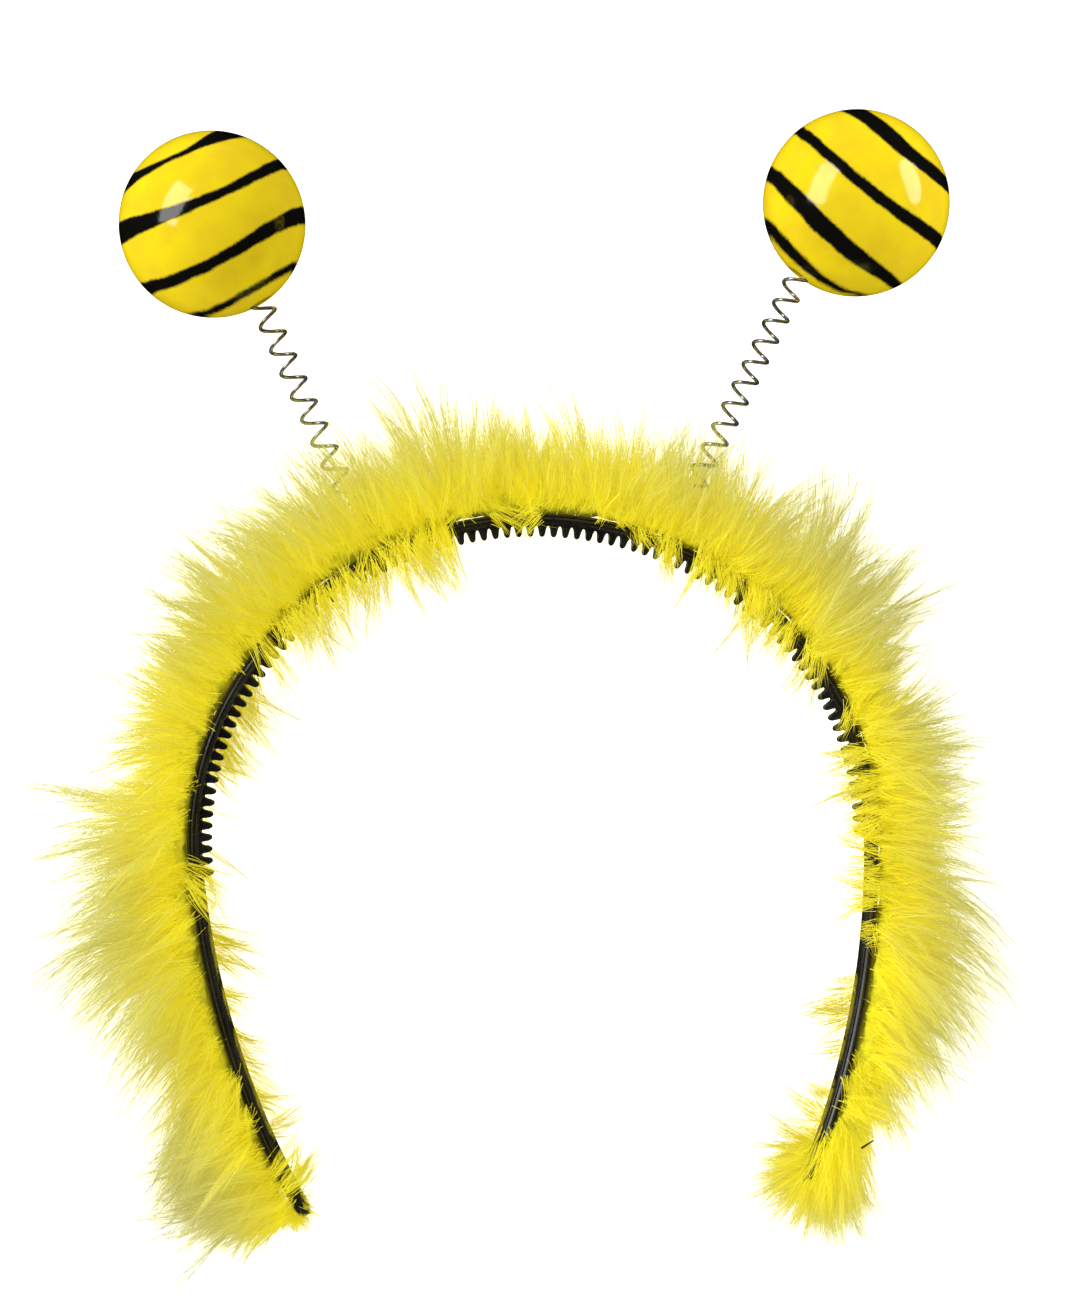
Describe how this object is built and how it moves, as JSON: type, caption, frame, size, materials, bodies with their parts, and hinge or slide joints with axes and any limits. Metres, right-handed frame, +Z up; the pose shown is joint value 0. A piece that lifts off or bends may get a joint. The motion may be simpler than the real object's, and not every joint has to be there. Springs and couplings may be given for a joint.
{
  "type": "bee antenna headband",
  "caption": "Toothed black headband with a yellow feather trim along its outer face and glossy yellow balls that sway on coil springs above the crown",
  "frame": {"origin": "the middle of the plan, on the surface that the headband lies on", "axes": "+X from the left arm to the right arm as seen from above, +Y from the arms' tips to the antennas, +Z up, which is the wearer's front"},
  "size_m": [0.181, 0.2162, 0.0405],
  "materials": {
    "black_plastic": "moulded black plastic with a satin shine",
    "yellow_feather": "dyed downy feather, matte, paler at its tips",
    "spring_steel": "bright drawn wire",
    "yellow_paint": "glossy yellow paint with hand-painted black stripes"
  },
  "bodies": {
    "band": {"headband": "black_plastic", "feather_trim": "yellow_feather", "left_spring": "spring_steel", "right_spring": "spring_steel"},
    "left_ball": {"left_ball": "yellow_paint"},
    "right_ball": {"right_ball": "yellow_paint"}
  },
  "joints": [
    {"name": "left_sway", "type": "hinge", "parent": "band", "child": "left_ball", "pos_m": [-0.0318, 0.04571, 0.0177], "axis": [0, 0, 1], "range_deg": [-30, 30], "stiffness_Nm_per_rad": 0.018, "deforming": ["left_spring"]},
    {"name": "right_sway", "type": "hinge", "parent": "band", "child": "right_ball", "pos_m": [0.04282, 0.04444, 0.0177], "axis": [0, 0, 1], "range_deg": [-30, 30], "stiffness_Nm_per_rad": 0.018, "deforming": ["right_spring"]}
  ]
}
